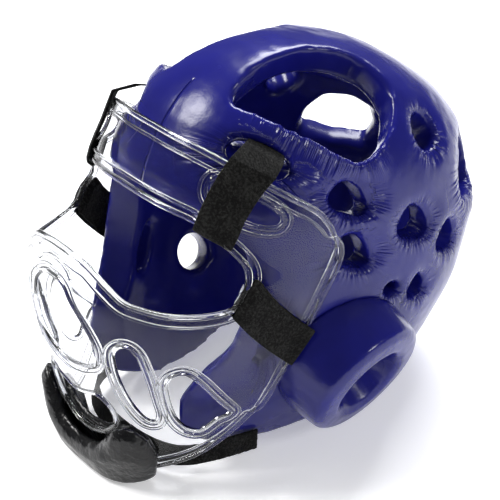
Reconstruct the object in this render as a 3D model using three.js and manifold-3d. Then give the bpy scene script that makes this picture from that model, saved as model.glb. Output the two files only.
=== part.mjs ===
// Foam sparring headgear with a clear face shield, in millimetres.
// It is drawn upright as worn (face towards -Y, wearer's left towards +X, +Z up) and then leaned back
// until it stands on its chin pad and the nape of the foam.
import * as THREE from "three";
import { mergeVertices } from "three/addons/utils/BufferGeometryUtils.js";
import Module from "manifold-3d";

const wasm = await Module();
wasm.setup();

// Driving dimensions
const shellHeight = 247; // from the level of the chin's lower edge to the crown
const halfWidth = 92; // foam only, without the ear pads
const frontReach = 118; // middle of the head to the forehead
const rearReach = 128; // middle of the head to the back
const wall = 20; // padded foam wall
const rimFloor = -12; // the uncut shell reaches this low
const restLean = 19.2; // degrees that the headgear leans back when it rests
const restDepth = 7.9; // the resting plane's distance from the upright origin
const shieldSheet = 2.6;
const shieldPlay = 3.5; // the shield's outer face beyond the foam at the temples
const maskReach = 50; // the mask's bulge past the forehead
const clearance = 0.4;
const strapSheet = 1.8;
const strapClear = 0.9;
const strapPlay = 0.5; // round a strap inside the foam
const strapWidth = 25;
const earOuter = 42;
const earHole = 20;
const earBore = 12;
const earRise = 24;

// Foam sections. level: share of shellHeight; half, front, rear: shares of the three reaches; power: of the
// superellipse, where 2 is an ellipse.
const shellTable = [
  { level: -0.06, half: 0.54, front: 0.93, rear: 0.65, power: 2.4 },
  { level: 0.0, half: 0.62, front: 0.96, rear: 0.68, power: 2.4 },
  { level: 0.16, half: 0.815, front: 1.01, rear: 0.8, power: 2.4 },
  { level: 0.32, half: 0.945, front: 1.0, rear: 0.915, power: 2.4 },
  { level: 0.48, half: 1.0, front: 0.985, rear: 0.995, power: 2.4 },
  { level: 0.64, half: 0.99, front: 1.0, rear: 1.0, power: 2.4 },
  { level: 0.72, half: 0.955, front: 0.975, rear: 0.95, power: 2.35 },
  { level: 0.8, half: 0.885, front: 0.915, rear: 0.865, power: 2.3 },
  { level: 0.9, half: 0.7, front: 0.75, rear: 0.655, power: 2.2 },
  { level: 0.965, half: 0.455, front: 0.49, rear: 0.37, power: 2.1 },
  { level: 1.0, half: 0.0, front: 0.0, rear: 0.0, power: 2.0 },
];

const shieldHalf = halfWidth + shieldPlay;

// Outer face of the clear shield. level: share of shellHeight; half: share of shieldHalf; front: share of
// frontReach, to which comes bulge, a share of maskReach; power: of the superellipse.
const shieldTable = [
  { level: -0.16, half: 0.57, front: 0.8969, bulge: 0, power: 2.5 },
  { level: -0.11, half: 0.62, front: 0.9468, bulge: 0, power: 2.6 },
  { level: -0.04, half: 0.69, front: 1.0, bulge: 0.059, power: 2.7 },
  { level: 0.05, half: 0.775, front: 1.0, bulge: 0.261, power: 2.75 },
  { level: 0.145, half: 0.85, front: 1.0, bulge: 0.496, power: 2.75 },
  { level: 0.245, half: 0.91, front: 1.0, bulge: 0.748, power: 2.6 },
  { level: 0.315, half: 0.95, front: 1.0, bulge: 0.899, power: 2.5 },
  { level: 0.37, half: 0.975, front: 1.0, bulge: 1.0, power: 2.4 },
  { level: 0.455, half: 0.995, front: 1.0, bulge: 1.0, power: 2.35 },
  { level: 0.525, half: 1.0, front: 1.0, bulge: 0.479, power: 2.4 },
  { level: 0.6, half: 1.0, front: 1.0849, bulge: 0, power: 2.6 },
  { level: 0.68, half: 0.99, front: 1.0464, bulge: 0, power: 2.6 },
  { level: 0.77, half: 0.94, front: 0.9966, bulge: 0, power: 2.6 },
  { level: 0.81, half: 0.9, front: 0.961, bulge: 0, power: 2.6 },
];

// The shield's outline: top and bottom level (shares of shellHeight) against the angle from the front.
const shieldEdge = [
  { angle: 0, top: 0.757, bottom: -0.1 },
  { angle: 16, top: 0.754, bottom: -0.094 },
  { angle: 31, top: 0.742, bottom: -0.073 },
  { angle: 40, top: 0.728, bottom: -0.052 },
  { angle: 49, top: 0.713, bottom: -0.026 },
  { angle: 58, top: 0.695, bottom: 0.016 },
  { angle: 65, top: 0.678, bottom: 0.072 },
  { angle: 70, top: 0.652, bottom: 0.135 },
  { angle: 74, top: 0.612, bottom: 0.195 },
  { angle: 75.6, top: 0.585, bottom: 0.29 },
  { angle: 76.8, top: 0.545, bottom: 0.44 },
];

// Lower edge of the foam. along: share of rearReach, positive to the back; level: share of shellHeight.
const rimTable = [
  { along: -1.1, level: 0.07 },
  { along: -0.75, level: 0.04 },
  { along: -0.45, level: 0.002 },
  { along: -0.18, level: 0.024 },
  { along: 0.03, level: 0.062 },
  { along: 0.18, level: 0.112 },
  { along: 0.36, level: 0.152 },
  { along: 0.6, level: 0.172 },
  { along: 1.1, level: 0.178 },
];

// Vents on the wearer's left, mirrored on the right. around: degrees from the front; level: share of
// shellHeight; wide, tall: mm; turn: degrees; shape: see ventOutline.
const ventTable = [
  { around: 40.5, level: 0.762, wide: 40, tall: 17, turn: 10, shape: "slot" },
  { around: 76.5, level: 0.701, wide: 31, tall: 18, turn: 8, shape: "fin" },
  { around: 81.5, level: 0.569, wide: 32, tall: 18, turn: 12, shape: "fin" },
  { around: 97.5, level: 0.637, wide: 29, tall: 21, turn: 0, shape: "fin" },
  { around: 104.5, level: 0.851, wide: 21, tall: 24, turn: -10, shape: "lens" },
  { around: 116, level: 0.587, wide: 24, tall: 21, turn: 0, shape: "fin" },
  { around: 94.5, level: 0.462, wide: 12, tall: 9, turn: 0, shape: "lens" },
  { around: 105.5, level: 0.46, wide: 17, tall: 16, turn: 0, shape: "fin" },
  { around: 136, level: 0.748, wide: 48, tall: 38, turn: 0, shape: "arch" },
  { around: 63, level: 0.328, wide: 11, tall: 34, turn: 17, shape: "slot" },
];

// Outline of the left crown opening, clockwise from the front: shares of halfWidth, frontReach and
// shellHeight.
const crownTable = [
  { side: 0.33, along: -0.76, level: 0.86 },
  { side: 0.27, along: -0.64, level: 0.91 },
  { side: 0.24, along: -0.46, level: 0.955 },
  { side: 0.26, along: -0.24, level: 0.98 },
  { side: 0.4, along: -0.05, level: 0.975 },
  { side: 0.61, along: 0.025, level: 0.93 },
  { side: 0.76, along: -0.03, level: 0.872 },
  { side: 0.835, along: -0.11, level: 0.835 },
  { side: 0.865, along: -0.25, level: 0.79 },
  { side: 0.83, along: -0.35, level: 0.8 },
  { side: 0.76, along: -0.46, level: 0.82 },
  { side: 0.67, along: -0.57, level: 0.835 },
  { side: 0.545, along: -0.67, level: 0.85 },
  { side: 0.42, along: -0.74, level: 0.856 },
];

// Half outline of the foam's face opening: shares of halfWidth and shellHeight.
const faceTable = [
  { side: 0.5, level: -0.3 },
  { side: 0.5, level: -0.1 },
  { side: 0.5, level: 0.06 },
  { side: 0.54, level: 0.15 },
  { side: 0.645, level: 0.22 },
  { side: 0.73, level: 0.3 },
  { side: 0.765, level: 0.4 },
  { side: 0.76, level: 0.5 },
  { side: 0.7, level: 0.565 },
  { side: 0.56, level: 0.597 },
  { side: 0.3, level: 0.603 },
  { side: 0.0, level: 0.605 },
];

// Half outline of the shield's eye opening: shares of shieldHalf and shellHeight, top first.
const eyeTable = [
  { side: 0.0, level: 0.605 },
  { side: 0.37, level: 0.603 },
  { side: 0.56, level: 0.595 },
  { side: 0.71, level: 0.565 },
  { side: 0.81, level: 0.53 },
  { side: 0.86, level: 0.49 },
  { side: 0.865, level: 0.45 },
  { side: 0.84, level: 0.42 },
  { side: 0.77, level: 0.4 },
  { side: 0.68, level: 0.392 },
  { side: 0.58, level: 0.394 },
  { side: 0.5, level: 0.4 },
  { side: 0.4, level: 0.424 },
  { side: 0.27, level: 0.452 },
  { side: 0.12, level: 0.464 },
  { side: 0.0, level: 0.466 },
];

// Shield vents on the centre line (half outlines) and on the left side, as shares of shieldHalf and
// shellHeight.
const noseVent = [
  { side: 0.0, level: 0.392 },
  { side: 0.08, level: 0.39 },
  { side: 0.16, level: 0.372 },
  { side: 0.25, level: 0.325 },
  { side: 0.335, level: 0.265 },
  { side: 0.325, level: 0.215 },
  { side: 0.24, level: 0.19 },
  { side: 0.12, level: 0.172 },
  { side: 0.0, level: 0.165 },
];
const mouthVent = [
  { side: 0.0, level: 0.087 },
  { side: 0.12, level: 0.098 },
  { side: 0.23, level: 0.113 },
  { side: 0.3, level: 0.108 },
  { side: 0.35, level: 0.08 },
  { side: 0.33, level: 0.04 },
  { side: 0.24, level: 0.008 },
  { side: 0.12, level: -0.012 },
  { side: 0.0, level: -0.018 },
];
const breathVent = [
  { side: 0.437, level: 0.262 },
  { side: 0.485, level: 0.288 },
  { side: 0.536, level: 0.293 },
  { side: 0.57, level: 0.278 },
  { side: 0.587, level: 0.243 },
  { side: 0.6, level: 0.194 },
  { side: 0.6, level: 0.142 },
  { side: 0.592, level: 0.111 },
  { side: 0.565, level: 0.089 },
  { side: 0.52, level: 0.091 },
  { side: 0.472, level: 0.13 },
  { side: 0.443, level: 0.176 },
  { side: 0.428, level: 0.225 },
];
const jawVent = [
  { side: 0.658, level: 0.215 },
  { side: 0.69, level: 0.242 },
  { side: 0.734, level: 0.249 },
  { side: 0.77, level: 0.215 },
  { side: 0.792, level: 0.155 },
  { side: 0.782, level: 0.134 },
  { side: 0.748, level: 0.113 },
  { side: 0.7, level: 0.08 },
  { side: 0.665, level: 0.08 },
  { side: 0.645, level: 0.109 },
  { side: 0.648, level: 0.166 },
];

const radians = THREE.MathUtils.degToRad;

// A smooth monotone curve through a table's columns.
function track(table, key, column, square = false) {
  const xs = table.map((row) => row[key]);
  const ys = table.map((row) => (square ? row[column] ** 2 : row[column]));
  const steps = xs.slice(1).map((x, i) => x - xs[i]);
  const rise = steps.map((h, i) => (ys[i + 1] - ys[i]) / h);
  const slope = xs.map((x, i) => {
    if (i === 0) return rise[0];
    if (i === xs.length - 1) return rise[i - 1];
    if (rise[i - 1] * rise[i] <= 0) return 0;
    const first = 2 * steps[i] + steps[i - 1];
    const second = steps[i] + 2 * steps[i - 1];
    return (first + second) / (first / rise[i - 1] + second / rise[i]);
  });
  return (x) => {
    const clamped = Math.min(Math.max(x, xs[0]), xs[xs.length - 1]);
    let i = 0;
    while (i < xs.length - 2 && clamped > xs[i + 1]) i += 1;
    const h = steps[i];
    const s = (clamped - xs[i]) / h;
    const value =
      ys[i] * (1 + 2 * s) * (1 - s) ** 2 +
      ys[i + 1] * s * s * (3 - 2 * s) +
      h * slope[i] * s * (1 - s) ** 2 -
      h * slope[i + 1] * s * s * (1 - s);
    return square ? Math.sqrt(Math.max(value, 0)) : value;
  };
}

const shellHalf = track(shellTable, "level", "half", true);
const shellFront = track(shellTable, "level", "front", true);
const shellRear = track(shellTable, "level", "rear", true);
const shellPower = track(shellTable, "level", "power");
const coverHalf = track(shieldTable, "level", "half");
const coverFlat = track(shieldTable, "level", "front");
const coverBulge = track(shieldTable, "level", "bulge");
const coverFront = (level) => coverFlat(level) * frontReach + coverBulge(level) * maskReach;
const coverPower = track(shieldTable, "level", "power");
const coverTop = track(shieldEdge, "angle", "top");
const coverBottom = track(shieldEdge, "angle", "bottom");

const bend = (value, power) => Math.sign(value) * Math.abs(value) ** (2 / power);

// Outer face of the foam; angle in degrees from the front towards the left, level a share of the height.
function shellPoint(angle, level) {
  const s = Math.sin(radians(angle));
  const c = Math.cos(radians(angle));
  const power = shellPower(level);
  const reach = c > 0 ? shellFront(level) * frontReach : shellRear(level) * rearReach;
  return new THREE.Vector3(
    shellHalf(level) * halfWidth * bend(s, power),
    -reach * bend(c, power),
    level * shellHeight,
  );
}

// Outer face of the clear shield, by the same two numbers.
function coverPoint(angle, level) {
  const power = coverPower(level);
  return new THREE.Vector3(
    coverHalf(level) * shieldHalf * bend(Math.sin(radians(angle)), power),
    -coverFront(level) * bend(Math.cos(radians(angle)), power),
    level * shellHeight,
  );
}

function normalOf(surface, angle, level) {
  const up = Math.min(level + 0.004, 0.9999);
  const a = surface(angle + 0.6, level).sub(surface(angle - 0.6, level));
  const b = surface(angle, up).sub(surface(angle, up - 0.008));
  const n = a.cross(b);
  return n.length() < 1e-9 ? new THREE.Vector3(0, 0, 1) : n.normalize();
}

const off = (surface, angle, level, distance) =>
  surface(angle, level).addScaledVector(normalOf(surface, angle, level), distance);

function geometryOf(points, faces) {
  const geometry = new THREE.BufferGeometry();
  geometry.setAttribute(
    "position",
    new THREE.Float32BufferAttribute(points.flatMap((p) => [p.x, p.y, p.z]), 3),
  );
  geometry.setIndex(faces.flat());
  return geometry;
}

function solidOf(geometry) {
  geometry.deleteAttribute("normal");
  geometry.deleteAttribute("uv");
  const merged = mergeVertices(geometry, 1e-3);
  const corner = merged.index.array;
  const kept = [];
  for (let i = 0; i < corner.length; i += 3) {
    const [a, b, c] = [corner[i], corner[i + 1], corner[i + 2]];
    if (a !== b && b !== c && c !== a) kept.push(a, b, c);
  }
  const make = (triVerts) =>
    new wasm.Manifold(
      new wasm.Mesh({
        numProp: 3,
        vertProperties: new Float32Array(merged.attributes.position.array),
        triVerts: new Uint32Array(triVerts),
      }),
    );
  const solid = make(kept);
  if (solid.volume() > 0) return solid;
  for (let i = 0; i < kept.length; i += 3) [kept[i + 1], kept[i + 2]] = [kept[i + 2], kept[i + 1]];
  return make(kept);
}

function geometryFrom(solid) {
  const mesh = solid.getMesh();
  const stride = mesh.numProp;
  const points = [];
  for (let i = 0; i < mesh.vertProperties.length; i += stride) {
    points.push(new THREE.Vector3(...mesh.vertProperties.slice(i, i + 3)));
  }
  const faces = [];
  for (let i = 0; i < mesh.triVerts.length; i += 3) faces.push([...mesh.triVerts.slice(i, i + 3)]);
  return geometryOf(points, faces);
}

// A closed skin over rings of points that all have the same count, with a fan at each end.
function loft(rings) {
  const count = rings[0].length;
  const points = rings.flat();
  const faces = [];
  for (let i = 0; i < rings.length - 1; i += 1) {
    for (let j = 0; j < count; j += 1) {
      const k = (j + 1) % count;
      const a = i * count;
      const b = a + count;
      faces.push([a + j, a + k, b + k], [a + j, b + k, b + j]);
    }
  }
  const cap = (start, flip) => {
    const centre = new THREE.Vector3();
    for (let j = 0; j < count; j += 1) centre.add(points[start + j]);
    points.push(centre.divideScalar(count));
    const last = points.length - 1;
    for (let j = 0; j < count; j += 1) {
      const k = (j + 1) % count;
      faces.push(flip ? [last, start + k, start + j] : [last, start + j, start + k]);
    }
  };
  cap(0, true);
  cap((rings.length - 1) * count, false);
  return solidOf(geometryOf(points, faces));
}

// The foam's skin from its lower end to the crown, moved out by a distance.
function shellSkin(distance, around, rows, floor) {
  const rings = [];
  const low = floor / shellHeight;
  for (let i = 0; i < rows; i += 1) {
    const v = i / rows;
    const level = low + (1 - low) * (1 - (1 - v) ** 1.7);
    const ring = [];
    for (let j = 0; j < around; j += 1) {
      const p = off(shellPoint, 360 * (j / around), Math.min(level, 0.992), distance);
      if (i === 0) p.z = floor;
      ring.push(p);
    }
    rings.push(ring);
  }
  const top = new THREE.Vector3(0, 0, shellHeight + distance);
  const last = rings[rings.length - 1];
  rings.push(last.map((p) => p.clone().lerp(top, 0.55).setZ(top.z - 0.25 * (top.z - p.z))));
  return loft(rings);
}

// Outlines of the foam's vents in a unit square.
function ventOutline(shape) {
  const corners = {
    slot: [[-0.5, -0.1], [-0.38, 0.36], [0, 0.5], [0.38, 0.36], [0.5, -0.1], [0.36, -0.42], [0, -0.5], [-0.36, -0.42]],
    fin: [[-0.5, -0.18], [-0.36, 0.32], [-0.16, 0.5], [0.1, 0.36], [0.36, 0.02], [0.5, -0.28], [0.36, -0.47], [0, -0.5], [-0.36, -0.44]],
    lens: [[-0.5, 0], [-0.36, 0.36], [0, 0.5], [0.36, 0.36], [0.5, 0], [0.36, -0.36], [0, -0.5], [-0.36, -0.36]],
    arch: [[-0.5, -0.4], [-0.46, 0.05], [-0.26, 0.42], [0.05, 0.5], [0.34, 0.36], [0.5, -0.02], [0.48, -0.42], [0, -0.5]],
  };
  return corners[shape];
}

// A vent's cutter: narrow in the middle of the wall and flared at both faces.
function ventCutter(row, side) {
  const centre = off(shellPoint, row.around * side, row.level, 0);
  const normal = normalOf(shellPoint, row.around * side, row.level);
  const across = new THREE.Vector3(0, 0, 1).cross(normal).normalize().multiplyScalar(side);
  const up = normal.clone().cross(across).multiplyScalar(side).normalize();
  const turn = radians(row.turn);
  const rings = [
    { depth: 7, scale: 1.35 },
    { depth: -3, scale: 1.06 },
    { depth: -wall + 3, scale: 1.0 },
    { depth: -wall - 8, scale: 1.25 },
  ].map(({ depth, scale }) =>
    ventOutline(row.shape).map(([u, v]) => {
      const a = (u * row.wide * Math.cos(turn) + v * row.tall * Math.sin(turn)) * scale;
      const b = (-u * row.wide * Math.sin(turn) + v * row.tall * Math.cos(turn)) * scale;
      return centre
        .clone()
        .addScaledVector(across, a)
        .addScaledVector(up, b)
        .addScaledVector(normal, depth);
    }),
  );
  return loft(rings);
}

// The crown opening's cutter follows the outline inwards along its middle's normal.
function crownCutter(side) {
  const outline = crownTable.map(
    (row) => new THREE.Vector3(row.side * halfWidth * side, row.along * frontReach, row.level * shellHeight),
  );
  const middle = new THREE.Vector3();
  for (const p of outline) middle.add(p);
  middle.divideScalar(outline.length);
  const normal = new THREE.Vector3(0.5 * side, -0.28, 0.82).normalize();
  const rings = [
    { depth: 26, scale: 1.3 },
    { depth: 0, scale: 1.04 },
    { depth: -wall + 2, scale: 0.98 },
    { depth: -wall - 22, scale: 1.12 },
  ].map(({ depth, scale }) =>
    outline.map((p) => middle.clone().add(p.clone().sub(middle).multiplyScalar(scale)).addScaledVector(normal, depth)),
  );
  return loft(rings);
}

// A prism along Y over an outline in X and Z.
function frontPrism(outline, from, to) {
  const shape = new THREE.Shape(outline.map(([x, z]) => new THREE.Vector2(x, z)));
  const geometry = new THREE.ExtrudeGeometry(shape, { depth: to - from, bevelEnabled: false, steps: 1 });
  geometry.rotateX(Math.PI / 2);
  geometry.translate(0, to, 0);
  return solidOf(geometry);
}

function mirrored(half, wide) {
  const right = half.map((row) => [row.side * wide, row.level * shellHeight]);
  const left = right.filter(([x]) => x > 0.01).map(([x, z]) => [-x, z]).reverse();
  return [...right, ...left];
}

function smoothOutline(corners, count) {
  const curve = new THREE.CatmullRomCurve3(
    corners.map(([x, z]) => new THREE.Vector3(x, 0, z)),
    true,
    "centripetal",
  );
  return curve.getSpacedPoints(count).slice(0, count).map((p) => [p.x, p.z]);
}

// The foam below its lower edge, as a prism along X.
function belowRim() {
  const level = track(rimTable, "along", "level");
  const outline = [[-1.6 * rearReach, -80]];
  for (let i = 0; i <= 20; i += 1) {
    const along = -1.1 + (2.2 * i) / 20;
    outline.push([along * rearReach, level(along) * shellHeight]);
  }
  outline.push([1.6 * rearReach, rimTable[rimTable.length - 1].level * shellHeight], [1.6 * rearReach, -80]);
  const shape = new THREE.Shape(outline.map(([y, z]) => new THREE.Vector2(y, z)));
  const geometry = new THREE.ExtrudeGeometry(shape, { depth: 300, bevelEnabled: false, steps: 1 });
  geometry.rotateX(Math.PI / 2);
  geometry.rotateZ(Math.PI / 2);
  geometry.translate(-150, 0, 0);
  return solidOf(geometry);
}

// The face opening's cutter, cut square through the wall: its outline on the foam's face, drawn towards and
// away from a point inside the head.
function faceCutter() {
  const eye = new THREE.Vector3(0, 12, 0.34 * shellHeight);
  const outline = smoothOutline(mirrored(faceTable, halfWidth), 44).map(([x, z]) => {
    const level = z / shellHeight;
    const power = shellPower(level);
    const share = Math.abs(x) / (shellHalf(level) * halfWidth);
    const y = -shellFront(level) * frontReach * Math.max(1 - share ** power, 0.02) ** (1 / power);
    return new THREE.Vector3(x, y, z);
  });
  return loft([0.35, 2.2].map((scale) => outline.map((p) => eye.clone().lerp(p, scale))));
}

// What lies under the resting plane.
function belowRest() {
  const geometry = new THREE.BoxGeometry(600, 600, 100);
  geometry.translate(0, 0, restDepth - 50);
  geometry.rotateX(radians(restLean));
  return solidOf(geometry);
}

// The main body of a cut piece, without the slivers that a cut leaves.
function mainBody(solid) {
  return solid.decompose().reduce((a, b) => (b.volume() > a.volume() ? b : a));
}

function cutAll(solid, cutters) {
  let left = solid;
  for (const cutter of cutters) left = left.subtract(cutter);
  return left;
}

const earCentre = { around: 89, level: 0.275 };

// The ear pad's own frame: its middle on the foam, facing out, down and a little back.
function earFrame(side) {
  const middle = off(shellPoint, earCentre.around * side, earCentre.level, -6);
  const facing = new THREE.Vector3(side, 0.24, -0.38).normalize();
  const turn = new THREE.Quaternion().setFromUnitVectors(new THREE.Vector3(0, 0, 1), facing);
  return { middle, turn };
}

function earSolid(profile, side, segments) {
  const geometry = new THREE.LatheGeometry(profile.map(([r, h]) => new THREE.Vector2(r, h)), segments);
  const { middle, turn } = earFrame(side);
  geometry.rotateX(Math.PI / 2);
  geometry.scale(1, 1.06, 1);
  geometry.applyQuaternion(turn);
  geometry.translate(middle.x, middle.y, middle.z);
  return solidOf(geometry);
}

function foamShell() {
  const outer = shellSkin(0, 40, 12, rimFloor);
  const inner = shellSkin(-wall, 28, 8, rimFloor - 5);
  const cutters = [inner, belowRim(), belowRest()];
  cutters.push(faceCutter());
  for (const side of [1, -1]) {
    cutters.push(crownCutter(side));
    for (const row of ventTable) cutters.push(ventCutter(row, side));
    const bore = [[0, -wall - 16], [earBore + 4, -wall - 16], [earBore, -8], [earBore, 20], [0, 20]];
    cutters.push(earSolid(bore, side, 16));
  }
  return cutAll(outer, cutters);
}

function earPad(side, keepOff) {
  const profile = [
    [earBore + 1, -10],
    [earHole - 3, earRise * 0.5],
    [earHole, earRise * 0.82],
    [earHole + 3, earRise + 3],
    [earHole + 7, earRise + 5],
    [earOuter - 5, earRise + 4],
    [earOuter - 1, earRise + 1],
    [earOuter, earRise * 0.8],
    [earOuter + 2, 4],
    [earOuter + 3, -12],
  ];
  profile.push(profile[0]);
  return earSolid(profile, side, 22).subtract(keepOff);
}

// The clear shield as one curved sheet over its outline.
function shieldSheetSolid(grow = 0) {
  const columns = 28;
  const rows = 11;
  const last = shieldEdge[shieldEdge.length - 1].angle;
  const outer = [];
  const inner = [];
  for (let i = 0; i <= columns; i += 1) {
    const s = (2 * i) / columns - 1;
    const angle = last * Math.sin((Math.PI / 2) * s) * 0.5 + last * s * 0.5;
    const top = coverTop(Math.abs(angle));
    const bottom = coverBottom(Math.abs(angle));
    for (let j = 0; j <= rows; j += 1) {
      const level = bottom + ((top - bottom) * j) / rows;
      outer.push(off(coverPoint, angle, level, grow));
      inner.push(off(coverPoint, angle, level, -shieldSheet - grow));
    }
  }
  const points = [...outer, ...inner];
  const half = outer.length;
  const at = (i, j) => i * (rows + 1) + j;
  const faces = [];
  for (let i = 0; i < columns; i += 1) {
    for (let j = 0; j < rows; j += 1) {
      const [a, b, c, d] = [at(i, j), at(i + 1, j), at(i + 1, j + 1), at(i, j + 1)];
      faces.push([a, b, c], [a, c, d]);
      faces.push([half + a, half + c, half + b], [half + a, half + d, half + c]);
    }
    for (const j of [0, rows]) {
      const [a, b] = j === 0 ? [at(i, j), at(i + 1, j)] : [at(i + 1, j), at(i, j)];
      faces.push([a, half + a, half + b], [a, half + b, b]);
    }
  }
  for (let j = 0; j < rows; j += 1) {
    for (const i of [0, columns]) {
      const [a, b] = i === 0 ? [at(i, j + 1), at(i, j)] : [at(i, j), at(i, j + 1)];
      faces.push([a, half + a, half + b], [a, half + b, b]);
    }
  }
  return solidOf(geometryOf(points, faces));
}

// A cutter through the shield's side, along the normal at the outline's middle.
function coverCutter(half, side) {
  const corners = half.map((row) => [row.side * shieldHalf, row.level * shellHeight]);
  const outline = smoothOutline(corners, 14).map(([x, z]) => {
    const level = z / shellHeight;
    const power = coverPower(level);
    const share = Math.min(x / (coverHalf(level) * shieldHalf), 1);
    const y = -coverFront(level) * (1 - share ** power) ** (1 / power);
    return new THREE.Vector3(x * side, y, z);
  });
  const middle = new THREE.Vector3();
  for (const p of outline) middle.add(p);
  middle.divideScalar(outline.length);
  const flat = new THREE.Vector3();
  for (let i = 0; i < outline.length; i += 1) {
    const a = outline[i].clone().sub(middle);
    flat.add(a.cross(outline[(i + 1) % outline.length].clone().sub(middle)));
  }
  flat.normalize();
  if (flat.y > 0) flat.negate();
  const rings = [18, -18].map((depth) => outline.map((p) => p.clone().addScaledVector(flat, depth)));
  return loft(rings);
}

const eyeCutter = () => frontPrism(smoothOutline(mirrored(eyeTable, shieldHalf), 36), -260, -40);

function faceShield() {
  const cutters = [
    eyeCutter(),
    frontPrism(smoothOutline(mirrored(noseVent, shieldHalf), 18), -260, -60),
    frontPrism(smoothOutline(mirrored(mouthVent, shieldHalf), 18), -260, -60),
  ];
  for (const side of [1, -1]) {
    cutters.push(coverCutter(breathVent, side), coverCutter(jawVent, side), coverCutter(bandSlot(), side));
  }
  return cutAll(shieldSheetSolid(), cutters);
}

// The oval slot in the band, under the brow strap.
function bandSlot() {
  const outline = [];
  for (let i = 0; i < 12; i += 1) {
    const turn = (2 * Math.PI * i) / 12;
    const u = 0.17 * bend(Math.cos(turn), 2.6);
    const v = 0.032 * bend(Math.sin(turn), 2.6);
    outline.push({ side: 0.695 + u, level: 0.663 + v - 0.14 * u });
  }
  return outline;
}

// A flat strap along stations of a middle point, a width direction and a face direction.
function strapSolid(stations, wide, thick) {
  const rings = stations.map(({ middle, across, face }) =>
    [[-1, -1], [1, -1], [1, 1], [-1, 1]].map(([u, v]) =>
      middle
        .clone()
        .addScaledVector(across, (u * wide) / 2)
        .addScaledVector(face, (v * thick) / 2),
    ),
  );
  return loft(rings);
}

// The place on a surface at a point's height and direction, moved out by a distance.
function onto(surface, point, distance) {
  const level = point.z / shellHeight;
  const target = Math.atan2(point.x, -point.y);
  let low = target < 0 ? -179 : 0;
  let high = target < 0 ? 0 : 179;
  for (let i = 0; i < 40; i += 1) {
    const angle = (low + high) / 2;
    const p = surface(angle, level);
    if (Math.atan2(p.x, -p.y) < target) low = angle;
    else high = angle;
  }
  return off(surface, (low + high) / 2, level, distance);
}

const outerLift = strapClear + strapSheet / 2;
const innerLift = -shieldSheet - strapClear - strapSheet / 2;

// Two layers joined by a round fold past the edge that they hold, or the same grown by a margin all round.
// A station's place is given as shares of halfWidth, frontReach and shellHeight, and then laid on its surface.
function foldedStrap(outside, inside, side, grow) {
  const sheet = strapSheet + 2 * grow;
  const wide = strapWidth + 2 * grow;
  const shares = [-1, -0.34, 0.34, 1];
  const place = (station, share, thick) => {
    const direction = new THREE.Vector3(...station.across).normalize();
    const { side: x, along: y, level: z } = station.at;
    const p = new THREE.Vector3(x * halfWidth, y * frontReach, z * shellHeight);
    p.addScaledVector(direction, (share * wide) / 2);
    p.x *= side;
    return onto(station.surface, p, station.lift + thick / 2);
  };
  const ring = (station) => [
    ...shares.map((share) => place(station, share, sheet)),
    ...[...shares].reverse().map((share) => place(station, share, -sheet)),
  ];
  const last = outside[outside.length - 1];
  const before = outside[outside.length - 3];
  const fold = [0.25, 0.5, 0.75].map((turn) => {
    const at = (share, thick) => {
      const outer = place(last, share, thick);
      const inner = place(inside[0], share, -thick);
      const past = place(last, share, 0).sub(place(before, share, 0)).normalize();
      const middle = outer.clone().lerp(inner, 0.5);
      const radius = outer.distanceTo(inner) / 2;
      const out = outer.clone().sub(inner).normalize();
      return middle
        .addScaledVector(out, radius * Math.cos(Math.PI * turn))
        .addScaledVector(past, radius * Math.sin(Math.PI * turn));
    };
    return [
      ...shares.map((share) => at(share, sheet)),
      ...[...shares].reverse().map((share) => at(share, -sheet)),
    ];
  });
  const flip = (points) => {
    const upper = points.slice(0, shares.length);
    const lower = points.slice(shares.length);
    return [...lower.reverse(), ...upper.reverse()];
  };
  return loft([...outside.map(ring), ...fold, ...inside.map((station) => flip(ring(station)))]);
}

function browStrap(side, grow = 0) {
  const across = [0.76, 0.6, -0.22];
  const cover = (at, lift) => ({ surface: coverPoint, at, across, lift });
  const shell = (at, lift) => ({ surface: shellPoint, at, across, lift });
  const outside = [
    ...(grow > 0 ? [shell({ side: 0.657, along: -0.725, level: 0.8117 }, -14)] : []),
    shell({ side: 0.659, along: -0.729, level: 0.8036 }, -11),
    shell({ side: 0.663, along: -0.739, level: 0.7874 }, -4.5),
    shell({ side: 0.668, along: -0.753, level: 0.7692 }, 2.6),
    cover({ side: 0.674, along: -0.78, level: 0.7449 }, outerLift + 1.6),
    cover({ side: 0.674, along: -0.831, level: 0.7126 }, outerLift + 0.6),
    cover({ side: 0.674, along: -0.873, level: 0.6761 }, outerLift),
    cover({ side: 0.674, along: -0.907, level: 0.6397 }, outerLift),
    cover({ side: 0.674, along: -0.924, level: 0.6073 }, outerLift),
    cover({ side: 0.674, along: -0.941, level: 0.5806 }, outerLift),
  ];
  const inside = [
    cover({ side: 0.674, along: -0.941, level: 0.5806 }, innerLift),
    cover({ side: 0.674, along: -0.924, level: 0.6073 }, innerLift),
    cover({ side: 0.674, along: -0.907, level: 0.6397 }, innerLift),
  ];
  return foldedStrap(outside, inside, side, grow);
}

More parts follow.
